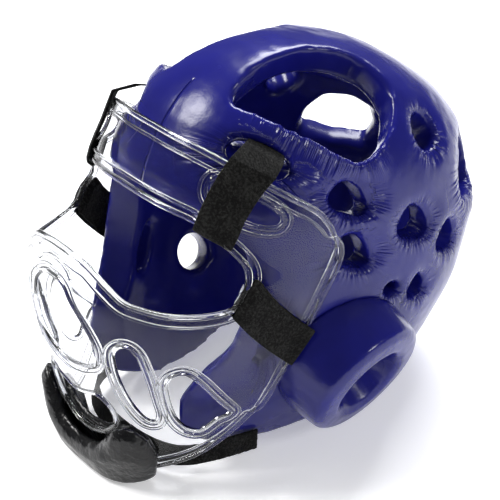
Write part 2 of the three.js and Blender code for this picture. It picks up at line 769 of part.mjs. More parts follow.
function cheekStrap(side, grow = 0) {
  const across = [0.18, 0.3, 0.94];
  const cover = (at, lift) => ({ surface: coverPoint, at, across, lift });
  const shell = (at, lift) => ({ surface: shellPoint, at, across, lift });
  const outside = [
    ...(grow > 0 ? [shell({ side: 0.904, along: -0.246, level: 0.3251 }, -14.5)] : []),
    shell({ side: 0.909, along: -0.28, level: 0.3259 }, -11),
    shell({ side: 0.915, along: -0.331, level: 0.3271 }, -4.5),
    shell({ side: 0.924, along: -0.386, level: 0.33 }, 3),
    cover({ side: 0.978, along: -0.428, level: 0.3381 }, outerLift + 1.2),
    cover({ side: 0.967, along: -0.483, level: 0.3522 }, outerLift),
    cover({ side: 0.957, along: -0.551, level: 0.3704 }, outerLift),
    cover({ side: 0.946, along: -0.619, level: 0.3907 }, outerLift),
    cover({ side: 0.924, along: -0.686, level: 0.413 }, outerLift),
    cover({ side: 0.908, along: -0.746, level: 0.4352 }, outerLift + 0.5),
    cover({ side: 0.898, along: -0.784, level: 0.4494 }, outerLift + 0.8),
  ];
  const inside = [
    cover({ side: 0.898, along: -0.784, level: 0.4494 }, innerLift - 0.6),
    cover({ side: 0.915, along: -0.729, level: 0.4291 }, innerLift - 0.6),
    cover({ side: 0.935, along: -0.653, level: 0.4028 }, innerLift - 0.6),
  ];
  return foldedStrap(outside, inside, side, grow);
}

// The chin pad: a U section round the shield's bottom edge. Columns: angle, top of the outer and inner
// layers above the shield's edge (mm), thickness of the layers (mm).
const chinTable = [
  { angle: 0, outer: 15, inner: 24, thick: 9 },
  { angle: 10, outer: 19, inner: 26, thick: 10 },
  { angle: 17, outer: 30, inner: 30, thick: 11 },
  { angle: 23, outer: 37, inner: 30, thick: 11 },
  { angle: 30, outer: 34, inner: 26, thick: 10 },
  { angle: 36, outer: 24, inner: 18, thick: 8 },
  { angle: 39.5, outer: 12, inner: 8, thick: 5 },
];

function chinPad() {
  const outerTop = track(chinTable, "angle", "outer");
  const innerTop = track(chinTable, "angle", "inner");
  const thickness = track(chinTable, "angle", "thick");
  const gap = clearance + 0.4;
  const rings = [];
  const steps = 16;
  const reach = chinTable[chinTable.length - 1].angle;
  for (let i = 0; i <= steps; i += 1) {
    const angle = reach * ((2 * i) / steps - 1);
    const size = Math.abs(angle);
    const bottom = coverBottom(size) * shellHeight;
    const thick = thickness(size);
    const high = bottom + outerTop(size);
    const back = bottom + innerTop(size);
    const section = [
      [gap, bottom - gap],
      [gap, high - 2],
      [gap + thick * 0.35, high],
      [gap + thick * 0.8, high - thick * 0.45],
      [gap + thick, (high + bottom) / 2],
      [gap + thick * 0.85, bottom - 2],
      [gap + thick * 0.35, bottom - 5.5],
      [-shieldSheet / 2, bottom - 6.5],
      [-shieldSheet - thick * 0.5, bottom - 4.5],
      [-shieldSheet - gap - thick * 0.85, bottom],
      [-shieldSheet - gap - thick * 0.85, (back + bottom) / 2],
      [-shieldSheet - gap - thick * 0.35, back],
      [-shieldSheet - gap, back - 2],
      [-shieldSheet - gap, bottom - gap],
    ];
    rings.push(section.map(([lift, z]) => off(coverPoint, angle, z / shellHeight, lift)));
  }
  return loft(rings).subtract(belowRest());
}

// The chin strap's left half, as shares of halfWidth, frontReach and shellHeight.
const chinStrapTable = [
  { side: 0.682, along: -0.32, level: 0.024 },
  { side: 0.662, along: -0.45, level: 0.01 },
  { side: 0.615, along: -0.59, level: -0.008 },
  { side: 0.5, along: -0.7, level: -0.032 },
  { side: 0.33, along: -0.765, level: -0.042 },
  { side: 0.16, along: -0.79, level: -0.045 },
];

function chinStrap() {
  const left = chinStrapTable.map(
    (row) => new THREE.Vector3(row.side * halfWidth, row.along * frontReach, row.level * shellHeight),
  );
  const right = left.map((p) => new THREE.Vector3(-p.x, p.y, p.z)).reverse();
  const middle = new THREE.Vector3(0, left[left.length - 1].y - 1, left[left.length - 1].z);
  const curve = new THREE.CatmullRomCurve3([...left, middle, ...right], false, "centripetal");
  const stations = [];
  for (let i = 0; i <= 26; i += 1) {
    const point = curve.getPointAt(i / 26);
    const along = curve.getTangentAt(i / 26);
    const up = new THREE.Vector3(0, 0, 1);
    const across = up.addScaledVector(along, -up.dot(along)).normalize();
    stations.push({ middle: point, across, face: along.clone().cross(across).normalize() });
  }
  return strapSolid(stations, 14, 2);
}

const headgear = new THREE.Group();

const materials = {
  foam: { color: 0x1a1f8a, roughness: 0.3, metalness: 0 },
  shield: { color: 0xf2f5f7, roughness: 0.06, metalness: 0 },
  strap: { color: 0x1b1b19, roughness: 0.95, metalness: 0 },
  chin: { color: 0x0e0e10, roughness: 0.35, metalness: 0 },
};

function addPiece(name, solid, look) {
  const mesh = new THREE.Mesh(geometryFrom(mainBody(solid)), new THREE.MeshStandardMaterial(materials[look]));
  mesh.name = name;
  headgear.add(mesh);
}

const offFoam = shellSkin(0.4, 40, 12, rimFloor);
const offShield = shieldSheetSolid(0.35).subtract(eyeCutter());
const strapRoom = (side) => cheekStrap(side, strapPlay);
const browRoom = (side) => browStrap(side, strapPlay);
addPiece("foam_shell", cutAll(foamShell(), [strapRoom(1), strapRoom(-1), browRoom(1), browRoom(-1)]), "foam");
addPiece("ear_pad_left", earPad(1, offFoam).subtract(strapRoom(1)), "foam");
addPiece("ear_pad_right", earPad(-1, offFoam).subtract(strapRoom(-1)), "foam");
addPiece("face_shield", faceShield(), "shield");
addPiece("brow_strap_left", browStrap(1).subtract(offShield), "strap");
addPiece("brow_strap_right", browStrap(-1).subtract(offShield), "strap");
addPiece("cheek_strap_left", cheekStrap(1).subtract(offShield), "strap");
addPiece("cheek_strap_right", cheekStrap(-1).subtract(offShield), "strap");
addPiece("chin_pad", chinPad().subtract(offShield), "chin");
addPiece("chin_strap", chinStrap(), "strap");

// Lean back onto the resting plane, and put the origin under the middle of the whole headgear.
headgear.rotation.x = radians(-restLean);
headgear.updateMatrixWorld(true);
const box = new THREE.Box3().setFromObject(headgear, true);
const offset = box.getCenter(new THREE.Vector3());
headgear.position.set(-offset.x, -offset.y, -box.min.z);

export default headgear;
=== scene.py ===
# A foam sparring headgear with a clear face shield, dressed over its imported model.
import math

import bpy
import numpy as np
from mathutils import Matrix, Vector, kdtree


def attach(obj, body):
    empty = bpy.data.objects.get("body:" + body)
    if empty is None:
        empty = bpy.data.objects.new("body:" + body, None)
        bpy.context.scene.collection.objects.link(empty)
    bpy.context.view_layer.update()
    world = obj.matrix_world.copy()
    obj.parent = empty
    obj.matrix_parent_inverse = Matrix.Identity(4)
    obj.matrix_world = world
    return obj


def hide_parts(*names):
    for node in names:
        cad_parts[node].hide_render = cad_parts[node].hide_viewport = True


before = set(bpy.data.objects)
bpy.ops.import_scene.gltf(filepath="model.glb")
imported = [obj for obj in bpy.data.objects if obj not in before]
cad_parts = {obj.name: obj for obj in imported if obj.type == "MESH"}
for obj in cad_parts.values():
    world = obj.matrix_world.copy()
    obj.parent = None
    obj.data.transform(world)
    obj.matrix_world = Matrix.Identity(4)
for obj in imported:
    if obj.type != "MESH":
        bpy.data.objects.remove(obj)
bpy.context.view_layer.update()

# The upright headgear (face to -Y) leans back by this much and moves by this much to rest, in metres.
restPose = {"lean": math.radians(19.2), "shift": (0.0, -0.02313, -0.0079)}

foamSize = {
    "height": 0.247,
    "halfWidth": 0.092,
    "frontReach": 0.118,
    "rearReach": 0.128,
    "voxel": 0.002,
    "rounding": 13,
    "snapReach": 0.003,
    "gatherHeight": 0.0007,
    "rimSink": 0.0016,
    "rimReach": 0.0055,
}

# Foam sections: level as a share of the height; half, front and rear as shares of the reaches.
foamSections = {
    "level": (-0.06, 0.0, 0.16, 0.32, 0.48, 0.64, 0.72, 0.8, 0.9, 0.965, 1.0),
    "half": (0.54, 0.62, 0.815, 0.945, 1.0, 0.99, 0.955, 0.885, 0.7, 0.455, 0.0),
    "front": (0.93, 0.96, 1.01, 1.0, 0.985, 1.0, 0.975, 0.915, 0.75, 0.49, 0.0),
    "rear": (0.65, 0.68, 0.8, 0.915, 0.995, 1.0, 0.95, 0.865, 0.655, 0.37, 0.0),
    "power": (2.4, 2.4, 2.4, 2.4, 2.4, 2.4, 2.35, 2.3, 2.2, 2.1, 2.0),
}

# Holes that the skin is gathered round: degrees from the front, level, width and height in metres.
foamVents = (
    {"around": 40.5, "level": 0.762, "wide": 0.040, "tall": 0.017, "reach": 0.012},
    {"around": 76.5, "level": 0.701, "wide": 0.031, "tall": 0.018, "reach": 0.009},
    {"around": 81.5, "level": 0.569, "wide": 0.032, "tall": 0.018, "reach": 0.009},
    {"around": 97.5, "level": 0.637, "wide": 0.029, "tall": 0.021, "reach": 0.006},
    {"around": 104.5, "level": 0.851, "wide": 0.021, "tall": 0.024, "reach": 0.005},
    {"around": 116.0, "level": 0.587, "wide": 0.024, "tall": 0.021, "reach": 0.006},
    {"around": 94.5, "level": 0.462, "wide": 0.012, "tall": 0.009, "reach": 0.007},
    {"around": 105.5, "level": 0.460, "wide": 0.017, "tall": 0.016, "reach": 0.006},
    {"around": 136.0, "level": 0.748, "wide": 0.048, "tall": 0.038, "reach": 0.011},
    {"around": 63.0, "level": 0.328, "wide": 0.011, "tall": 0.034, "reach": 0.012},
)

# The crown opening's outline as shares of the half width, front reach and height.
crownRim = {
    "side": (0.33, 0.27, 0.24, 0.26, 0.4, 0.61, 0.76, 0.835, 0.865, 0.83, 0.76, 0.67, 0.545, 0.42),
    "along": (
        -0.76, -0.64, -0.46, -0.24, -0.05, 0.025, -0.03,
        -0.11, -0.25, -0.35, -0.46, -0.57, -0.67, -0.74,
    ),
    "level": (0.86, 0.91, 0.955, 0.98, 0.975, 0.93, 0.872, 0.835, 0.79, 0.8, 0.82, 0.835, 0.85, 0.856),
    "reach": 0.019,
    "facing": (0.5, -0.28, 0.82),
    "bowReach": 0.009,
}

earSize = {
    "around": 89,
    "level": 0.275,
    "sink": -0.006,
    "facing": (1.0, 0.24, -0.38),
    "stretch": 1.06,
    "sides": 22,
    "boreCore": 0.008,
    "voxel": 0.0012,
    "rounding": 6,
}

shieldSize = {
    "half": 0.0955,
    "front": 0.118,
    "bulge": 0.05,
    "sheet": 0.0026,
    "columns": 150,
    "rows": 70,
    "bead": 0.0019,
    "ridge": 0.0011,
    "ridgeInset": 0.0058,
    "smallInset": 0.0042,
    "edgeInset": 0.0065,
    "frontCut": 0.05,
    "sideCut": 0.016,
}

# Shield sections: level as a share of the foam's height; half, front and bulge as shares of the
# shield's sizes.
shieldSections = {
    "level": (-0.16, -0.11, -0.04, 0.05, 0.145, 0.245, 0.315, 0.37, 0.455, 0.525, 0.6, 0.68, 0.77, 0.81),
    "half": (0.57, 0.62, 0.69, 0.775, 0.85, 0.91, 0.95, 0.975, 0.995, 1.0, 1.0, 0.99, 0.94, 0.9),
    "front": (0.8969, 0.9468, 1.0, 1.0, 1.0, 1.0, 1.0, 1.0, 1.0, 1.0, 1.0849, 1.0464, 0.9966, 0.961),
    "bulge": (0.0, 0.0, 0.059, 0.261, 0.496, 0.748, 0.899, 1.0, 1.0, 0.479, 0.0, 0.0, 0.0, 0.0),
    "power": (2.5, 2.6, 2.7, 2.75, 2.75, 2.6, 2.5, 2.4, 2.35, 2.4, 2.6, 2.6, 2.6, 2.6),
}
shieldEdge = {
    "angle": (0, 16, 31, 40, 49, 58, 65, 70, 74, 75.6, 76.8),
    "top": (0.757, 0.754, 0.742, 0.728, 0.713, 0.695, 0.678, 0.652, 0.612, 0.585, 0.545),
    "bottom": (-0.1, -0.094, -0.073, -0.052, -0.026, 0.016, 0.072, 0.135, 0.195, 0.29, 0.44),
}

# Holes in the shield: side as a share of its half width, level as a share of the foam's height. Those on
# the middle line are half outlines.
eyeRim = {
    "side": (0.0, 0.37, 0.56, 0.71, 0.81, 0.86, 0.865, 0.84, 0.77, 0.68, 0.58, 0.5, 0.4, 0.27, 0.12, 0.0),
    "level": (
        0.605, 0.603, 0.595, 0.565, 0.53, 0.49, 0.45, 0.42,
        0.4, 0.392, 0.394, 0.4, 0.424, 0.452, 0.464, 0.466,
    ),
}
noseRim = {
    "side": (0.0, 0.08, 0.16, 0.25, 0.335, 0.325, 0.24, 0.12, 0.0),
    "level": (0.392, 0.39, 0.372, 0.325, 0.265, 0.215, 0.19, 0.172, 0.165),
}
mouthRim = {
    "side": (0.0, 0.12, 0.23, 0.3, 0.35, 0.33, 0.24, 0.12, 0.0),
    "level": (0.087, 0.098, 0.113, 0.108, 0.08, 0.04, 0.008, -0.012, -0.018),
}
breathRim = {
    "side": (0.437, 0.485, 0.536, 0.57, 0.587, 0.6, 0.6, 0.592, 0.565, 0.52, 0.472, 0.443, 0.428),
    "level": (0.262, 0.288, 0.293, 0.278, 0.243, 0.194, 0.142, 0.111, 0.089, 0.091, 0.13, 0.176, 0.225),
}
jawRim = {
    "side": (0.658, 0.69, 0.734, 0.77, 0.792, 0.782, 0.748, 0.7, 0.665, 0.645, 0.648),
    "level": (0.215, 0.242, 0.249, 0.215, 0.155, 0.134, 0.113, 0.08, 0.08, 0.109, 0.166),
}
slotRim = {"side": 0.695, "level": 0.663, "reach": 0.17, "rise": 0.032, "slope": -0.14, "power": 2.6}

# The low raised arch over the nose vent, from one side to the other.
noseArch = {
    "side": (-0.17, -0.13, -0.07, 0.0, 0.07, 0.13, 0.17),
    "level": (0.407, 0.422, 0.431, 0.434, 0.431, 0.422, 0.407),
}


# Smooth monotone curve through the rows of a short table.
def track(xs, ys):
    xs = np.array(xs, float)
    ys = np.array(ys, float)
    step = np.diff(xs)
    rise = np.diff(ys) / step
    slope = np.empty(len(xs))
    slope[0] = rise[0]
    slope[-1] = rise[-1]
    same = rise[:-1] * rise[1:] > 0
    before = np.where(same, rise[:-1], 1)
    after = np.where(same, rise[1:], 1)
    first = 2 * step[1:] + step[:-1]
    second = step[1:] + 2 * step[:-1]
    slope[1:-1] = np.where(same, (first + second) / (first / before + second / after), 0)

    def value(x):
        x = np.clip(x, xs[0], xs[-1])
        i = np.clip(np.searchsorted(xs, x) - 1, 0, len(xs) - 2)
        s = (x - xs[i]) / step[i]
        start = ys[i] * (1 + 2 * s) * (1 - s) ** 2 + step[i] * slope[i] * s * (1 - s) ** 2
        return start + ys[i + 1] * s * s * (3 - 2 * s) - step[i] * slope[i + 1] * s * s * (1 - s)

    return value


def squaredTrack(xs, ys):
    curve = track(xs, np.array(ys) ** 2)
    return lambda x: np.sqrt(np.maximum(curve(x), 1e-6))


foamHalf = squaredTrack(foamSections["level"], foamSections["half"])
foamFront = squaredTrack(foamSections["level"], foamSections["front"])
foamRear = squaredTrack(foamSections["level"], foamSections["rear"])
foamPower = track(foamSections["level"], foamSections["power"])
coverHalf = track(shieldSections["level"], shieldSections["half"])
coverFlat = track(shieldSections["level"], shieldSections["front"])
coverBulge = track(shieldSections["level"], shieldSections["bulge"])
coverPower = track(shieldSections["level"], shieldSections["power"])
coverTop = track(shieldEdge["angle"], shieldEdge["top"])
coverBottom = track(shieldEdge["angle"], shieldEdge["bottom"])

leanMatrix = np.array(Matrix.Rotation(-restPose["lean"], 3, "X"))
restShift = np.array(restPose["shift"])


def toRest(points):
    return np.asarray(points) @ leanMatrix.T + restShift


def toUpright(points):
    return (np.asarray(points) - restShift) @ leanMatrix


def unit(vectors):
    return vectors / np.maximum(np.linalg.norm(vectors, axis=-1, keepdims=True), 1e-12)


# How far a point's section reaches past the smooth outer face: 1 on it.
def foamReach(points):
    level = points[:, 2] / foamSize["height"]
    half = foamHalf(level) * foamSize["halfWidth"]
    front = foamFront(level) * foamSize["frontReach"]
    rear = foamRear(level) * foamSize["rearReach"]
    power = foamPower(level)
    reach = np.where(points[:, 1] < 0, front, rear)
    return ((np.abs(points[:, 0]) / half) ** power + (np.abs(points[:, 1]) / reach) ** power) ** (1 / power)


def foamSlope(points, step=0.0004):
    columns = []
    for axis in range(3):
        move = np.zeros(3)
        move[axis] = step
        columns.append((foamReach(points + move) - foamReach(points - move)) / (2 * step))
    return np.stack(columns, -1)


def foamPoint(angle, level):
    s = math.sin(math.radians(angle))
    c = math.cos(math.radians(angle))
    share = 2 / foamPower(level)
    reach = foamFront(level) * foamSize["frontReach"] if c > 0 else foamRear(level) * foamSize["rearReach"]
    x = foamHalf(level) * foamSize["halfWidth"] * math.copysign(abs(s) ** share, s)
    return np.array([x, -reach * math.copysign(abs(c) ** share, c), level * foamSize["height"]])


def coverFront(level):
    return coverFlat(level) * shieldSize["front"] + coverBulge(level) * shieldSize["bulge"]


# Outer face of the shield by angle from the front and level.
def coverPoint(angle, level):
    s = np.sin(np.radians(angle))
    c = np.cos(np.radians(angle))
    share = 2 / coverPower(level)
    x = coverHalf(level) * shieldSize["half"] * np.sign(s) * np.abs(s) ** share
    y = -coverFront(level) * np.abs(c) ** share
    return np.stack([x, y, level * foamSize["height"] + 0 * x], -1)


# Outer face of the shield by its side share and level.
def coverAt(side, level):
    share = np.clip(np.abs(side) / coverHalf(level), 0, 0.9999)
    power = coverPower(level)
    y = -coverFront(level) * (1 - share**power) ** (1 / power)
    return np.stack([side * shieldSize["half"], y, level * foamSize["height"]], -1)


def coverNormal(side, level):
    up = coverAt(side, level + 0.004) - coverAt(side, level - 0.004)
    across = coverAt(side + 0.004, level) - coverAt(side - 0.004, level)
    normal = unit(np.cross(across, up))
    return normal


# An outline's corners as a smooth closed loop of evenly spaced points.
def smoothLoop(corners, count):
    corners = np.asarray(corners, float)
    total = len(corners)
    dense = []
    for i in range(total):
        a, b, c, d = (corners[(i + k) % total] for k in (-1, 0, 1, 2))
        for t in np.linspace(0, 1, 16, endpoint=False):
            inner = (c - a) * t + (2 * a - 5 * b + 4 * c - d) * t**2 + (3 * b - a - 3 * c + d) * t**3
            dense.append(b + 0.5 * inner)
    dense = np.array(dense + [dense[0]])
    length = np.concatenate([[0], np.cumsum(np.linalg.norm(np.diff(dense, axis=0), axis=1))])
    wanted = np.linspace(0, length[-1], count, endpoint=False)
    return np.stack([np.interp(wanted, length, dense[:, k]) for k in range(dense.shape[1])], -1)


def wholeRim(rim):
    right = list(zip(rim["side"], rim["level"]))
    left = [(-side, level) for side, level in reversed(right) if side > 0.001]
    return right + left


def sideRim(rim, side):
    return [(side * x, level) for x, level in zip(rim["side"], rim["level"])]


def slotOutline(side):
    corners = []
    for i in range(16):
        turn = 2 * math.pi * i / 16
        share = 2 / slotRim["power"]
        u = slotRim["reach"] * math.copysign(abs(math.cos(turn)) ** share, math.cos(turn))
        v = slotRim["rise"] * math.copysign(abs(math.sin(turn)) ** share, math.sin(turn))
        corners.append((side * (slotRim["side"] + u), slotRim["level"] + v + slotRim["slope"] * u))
    return corners


# Shader values that can be used in Python sums.
class Wire:
    def __init__(self, finish, socket):
        self.finish = finish
        self.socket = socket

    def join(self, operation, first, second):
        return self.finish.add("ShaderNodeMath", {"operation": operation}, {0: first, 1: second})

    def __add__(self, other):
        return self.join("ADD", self, other)

    def __radd__(self, other):
        return self.join("ADD", other, self)

    def __sub__(self, other):
        return self.join("SUBTRACT", self, other)

    def __rsub__(self, other):
        return self.join("SUBTRACT", other, self)

    def __mul__(self, other):
        return self.join("MULTIPLY", self, other)

    def __rmul__(self, other):
        return self.join("MULTIPLY", other, self)


class Finish:
    def __init__(self, name):
        self.material = bpy.data.materials.new(name)
        self.material.use_nodes = True
        self.tree = self.material.node_tree
        self.shader = self.tree.nodes["Principled BSDF"]

    def add(self, kind, settings=None, values=None, output=0):
        node = self.tree.nodes.new(kind)
        for name, value in (settings or {}).items():
            setattr(node, name, value)
        for key, value in (values or {}).items():
            self.feed(node.inputs[key], value)
        return Wire(self, node.outputs[output])

    def feed(self, socket, value):
        if isinstance(value, Wire):
            self.tree.links.new(value.socket, socket)
        else:
            socket.default_value = value

    def set(self, values):
        for name, value in values.items():
            self.feed(self.shader.inputs[name], value)

    def place(self):
        return self.add("ShaderNodeTexCoord", output="Object")

    def noise(self, vector, scale, detail=2.0, roughness=0.5):
        return self.add(
            "ShaderNodeTexNoise",
            values={"Vector": vector, "Scale": scale, "Detail": detail, "Roughness": roughness},
        )

    def spread(self, value, low, high, start=0.0, end=1.0):
        values = {"Value": value, "From Min": low, "From Max": high, "To Min": start, "To Max": end}
        return self.add("ShaderNodeMapRange", {"clamp": True}, values)

    def tint(self, share, first, second):
        node = self.tree.nodes.new("ShaderNodeMix")
        node.data_type = "RGBA"
        self.feed(node.inputs[0], share)
        node.inputs[6].default_value = first
        node.inputs[7].default_value = second
        return Wire(self, node.outputs[2])

    def bump(self, height, distance, strength=1.0, normal=None):
        values = {"Height": height, "Distance": distance, "Strength": strength}
        if normal:
            values["Normal"] = normal
        return self.add("ShaderNodeBump", values=values)


vinylLook = {
    "deep": (0.006, 0.0065, 0.115, 1),
    "light": (0.010, 0.011, 0.19, 1),
    "roughness": (0.17, 0.28),
    "rippleScale": 38,
    "skinScale": 900,
    "gatherScale": 0.33,
}


# Glossy dipped vinyl: soft ripples, radial gathers at the holes and a seam down the forehead.
def vinylFinish():
    finish = Finish("dippedVinyl")
    place = finish.place()
    ripple = finish.noise(place, vinylLook["rippleScale"], 2.0)
    skin = finish.noise(place, vinylLook["skinScale"], 1.0)
    gatherPlace = finish.add("ShaderNodeAttribute", {"attribute_name": "gatherPlace"}, output="Vector")
    gatherFade = finish.add("ShaderNodeAttribute", {"attribute_name": "gatherFade"}, output="Fac")
    fold = finish.noise(gatherPlace, vinylLook["gatherScale"], 2.0, 0.6)
    crease = finish.spread(fold, 0.38, 0.62)
    axes = finish.tree.nodes.new("ShaderNodeSeparateXYZ")
    finish.feed(axes.inputs[0], place)
    x = Wire(finish, axes.outputs[0])
    y = Wire(finish, axes.outputs[1])
    z = Wire(finish, axes.outputs[2])
    width = finish.add("ShaderNodeMath", {"operation": "ABSOLUTE"}, {0: x})
    seam = finish.spread(width, 0.0, 0.0013, 1.0, 0.0)
    forehead = finish.spread(y, -0.047, -0.043, 1.0, 0.0) * finish.spread(z, 0.15, 0.16)
    height = crease * gatherFade
    tall = finish.bump(height, 0.002, 0.9)
    sewn = finish.bump(1 - seam * forehead, 0.0012, 0.9, tall)
    soft = finish.bump(ripple, 0.004, 0.35, sewn)
    fine = finish.bump(skin, 0.0002, 0.25, soft)
    low, high = vinylLook["roughness"]
    finish.set({
        "Base Color": finish.tint(ripple, vinylLook["deep"], vinylLook["light"]),
        "Roughness": finish.spread(finish.noise(place, 22, 3.0), 0.3, 0.7, low, high),
        "Normal": fine,
    })
    finish.set({"IOR": 1.5, "Specular IOR Level": 0.33})
    return finish.material


clearLook = {"colour": (0.93, 0.937, 0.948, 1), "roughness": 0.01, "sheetIor": 1.22, "beadIor": 1.42}


def clearFinish(name, bend):
    finish = Finish(name)
    place = finish.place()
    wave = finish.noise(place, 14, 1.0)
    finish.set({
        "Base Color": clearLook["colour"],
        "Roughness": clearLook["roughness"],
        "IOR": bend,
        "Transmission Weight": 1.0,
        "Normal": finish.bump(wave, 0.002, 0.25),
    })
    return finish.material


tapeLook = {
    "dark": (0.0012, 0.0012, 0.0012, 1),
    "light": (0.042, 0.042, 0.040, 1),
    "loopScale": 700,
    "ribScale": 420,
    "patchScale": 90,
}


# Hook-and-loop tape: matted loops over a fine ribbed weave.
def tapeFinish():
    finish = Finish("loopTape")
    place = finish.place()
    loops = finish.noise(place, tapeLook["loopScale"], 3.0, 0.7)
    rib = finish.add(
        "ShaderNodeTexWave",
        {"bands_direction": "DIAGONAL"},
        {"Vector": place, "Scale": tapeLook["ribScale"], "Distortion": 3.0, "Detail": 2.0},
    )
    height = loops * 0.8 + rib * 0.2
    patch = finish.noise(place, tapeLook["patchScale"], 3.0)
    matted = finish.spread(loops * 0.75 + patch * 0.25, 0.45, 0.75)
    finish.set({
        "Base Color": finish.tint(matted, tapeLook["dark"], tapeLook["light"]),
        "Roughness": finish.spread(loops, 0.3, 0.7, 0.85, 1.0),
        "Normal": finish.bump(height, 0.0011, 1.0),
        "Sheen Weight": 0.03,
        "Sheen Roughness": 0.4,
        "Specular IOR Level": 0.15,
    })
    return finish.material


chinLook = {"colour": (0.002, 0.002, 0.0025, 1), "worn": (0.006, 0.006, 0.007, 1)}


def chinFinish():
    finish = Finish("blackVinyl")
    place = finish.place()
    crumple = finish.noise(place, 75, 3.0, 0.6)
    skin = finish.noise(place, 1000, 1.0)
    finish.set({
        "Base Color": finish.tint(crumple, chinLook["colour"], chinLook["worn"]),
        "Roughness": finish.spread(crumple, 0.3, 0.7, 0.2, 0.34),
        "Normal": finish.bump(skin, 0.0002, 0.3, finish.bump(crumple, 0.004, 0.5)),
        "Specular IOR Level": 0.34,
    })
    return finish.material


def deselectAll():
    if bpy.context.object and bpy.context.object.mode != "OBJECT":
        bpy.ops.object.mode_set(mode="OBJECT")
    bpy.ops.object.select_all(action="DESELECT")


def choose(piece):
    deselectAll()
    piece.select_set(True)
    bpy.context.view_layer.objects.active = piece


def applyModifier(piece, kind, **settings):
    choose(piece)
    modifier = piece.modifiers.new(kind.lower(), kind)
    for name, value in settings.items():
        setattr(modifier, name, value)
    bpy.ops.object.modifier_apply(modifier=modifier.name)


def meshPoints(piece):
    flat = np.empty(len(piece.data.vertices) * 3)
    piece.data.vertices.foreach_get("co", flat)
    return flat.reshape(-1, 3)


def movePoints(piece, points):
    piece.data.vertices.foreach_set("co", np.asarray(points, float).ravel())
    piece.data.update()


def pointNormals(piece):
    flat = np.empty(len(piece.data.vertices) * 3)
    piece.data.vertices.foreach_get("normal", flat)
    return flat.reshape(-1, 3)


# A fine closed skin over a node's solid, with its edges rounded.
def softCopy(node, name, voxel, rounding):
    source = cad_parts[node]
    piece = source.copy()
    piece.data = source.data.copy()
    piece.name = name
    piece.parent = None
    piece.matrix_world = Matrix.Identity(4)
    piece.data.materials.clear()
    bpy.context.collection.objects.link(piece)
    choose(piece)
    bpy.ops.object.mode_set(mode="EDIT")
    bpy.ops.mesh.select_all(action="SELECT")
    bpy.ops.mesh.remove_doubles(threshold=0.00001)
    bpy.ops.object.mode_set(mode="OBJECT")
    applyModifier(piece, "REMESH", mode="VOXEL", voxel_size=voxel, adaptivity=0)
    applyModifier(piece, "SMOOTH", factor=0.5, iterations=rounding)
    return piece


def dress(piece, node, material=None):
    if material:
        piece.data.materials.append(material)
    choose(piece)
    bpy.ops.object.shade_smooth()
    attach(piece, "root")
    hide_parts(node)


# Where each gathered hole lies on the upright foam: its middle and its directions.
def ventSpot(vent, side):
    middle = foamPoint(vent["around"] * side, vent["level"])
    normal = unit(foamSlope(middle[None])[0])
    across = unit(np.cross([0.0, 0.0, 1.0], normal))
    return middle, normal, across, np.cross(normal, across)


# Direction round the nearest hole, how strongly the skin is gathered there and how far its rim sinks.
def gatherField(points):
    place = np.zeros((len(points), 3))
    fade = np.zeros(len(points))
    second = np.zeros(len(points))
    sink = np.zeros(len(points))

    def lay(found, turn, radius, strength, index):
        better = strength > fade[found]
        second[found] = np.maximum(second[found], np.where(better, fade[found], strength))
        rows = found[better]
        fade[rows] = strength[better]
        ring = np.stack([np.cos(turn), np.sin(turn)], -1)[better] * radius * 1000
        place[rows] = np.column_stack([ring, np.full(len(rows), 37.0 * index)])

    index = 1
    for side in (1, -1):
        for vent in foamVents:
            middle, normal, across, up = ventSpot(vent, side)
            offset = points - middle
            found = np.nonzero(np.linalg.norm(offset, axis=1) < 0.05)[0]
            u = offset[found] @ across
            v = offset[found] @ up
            radius = (vent["wide"] + vent["tall"]) / 4
            share = np.hypot(u / (vent["wide"] / 2), v / (vent["tall"] / 2))
            apart = (share - 1.15) * radius
            turn = np.arctan2(v / vent["tall"], u / vent["wide"])
            below = 0.45 + 0.55 * np.clip(0.4 - np.sin(turn), 0, 1)
            reach = vent["reach"] * (0.7 + 0.6 * below)
            strength = np.exp(-((np.maximum(apart, 0) / reach) ** 2)) * below
            lay(found, turn, radius, strength * np.clip((apart + 0.003) / 0.004, 0, 1), index)
            dish = np.exp(-((np.maximum(apart, 0) / foamSize["rimReach"]) ** 2))
            sink[found] = np.maximum(sink[found], dish * min(radius / 0.009, 1.3))
            index += 1
        scale = [foamSize["halfWidth"] * side, foamSize["frontReach"], foamSize["height"]]
        corners = np.column_stack([crownRim["side"], crownRim["along"], crownRim["level"]]) * scale
        rim = smoothLoop(corners, 1600)
        tree = kdtree.KDTree(len(rim))
        for i, corner in enumerate(rim):
            tree.insert(corner, i)
        tree.balance()
        centre = rim.mean(0)
        found = np.nonzero(np.linalg.norm(points - centre, axis=1) < 0.1)[0]
        spots = [tree.find(point)[1:] for point in points[found]]
        nearest = np.array([spot[0] for spot in spots])
        gaps = np.array([spot[1] for spot in spots])
        outer = np.clip((np.abs(rim[nearest][:, 0]) - 0.03) / 0.03, 0.05, 1.0)
        outer *= np.clip((-rim[nearest][:, 1] - 0.006) / 0.02, 0.15, 1.0)
        reach = crownRim["reach"] * (0.35 + 0.65 * outer)
        strength = outer * np.exp(-((gaps / reach) ** 2))
        perimeter = np.linalg.norm(np.diff(np.vstack([rim, rim[:1]]), axis=0), axis=1).sum()
        lay(found, 2 * np.pi * nearest / len(rim), perimeter / (2 * np.pi), strength, index)
        index += 1
    return place, np.clip((fade - second) * 1.6, 0, 1) * fade, sink


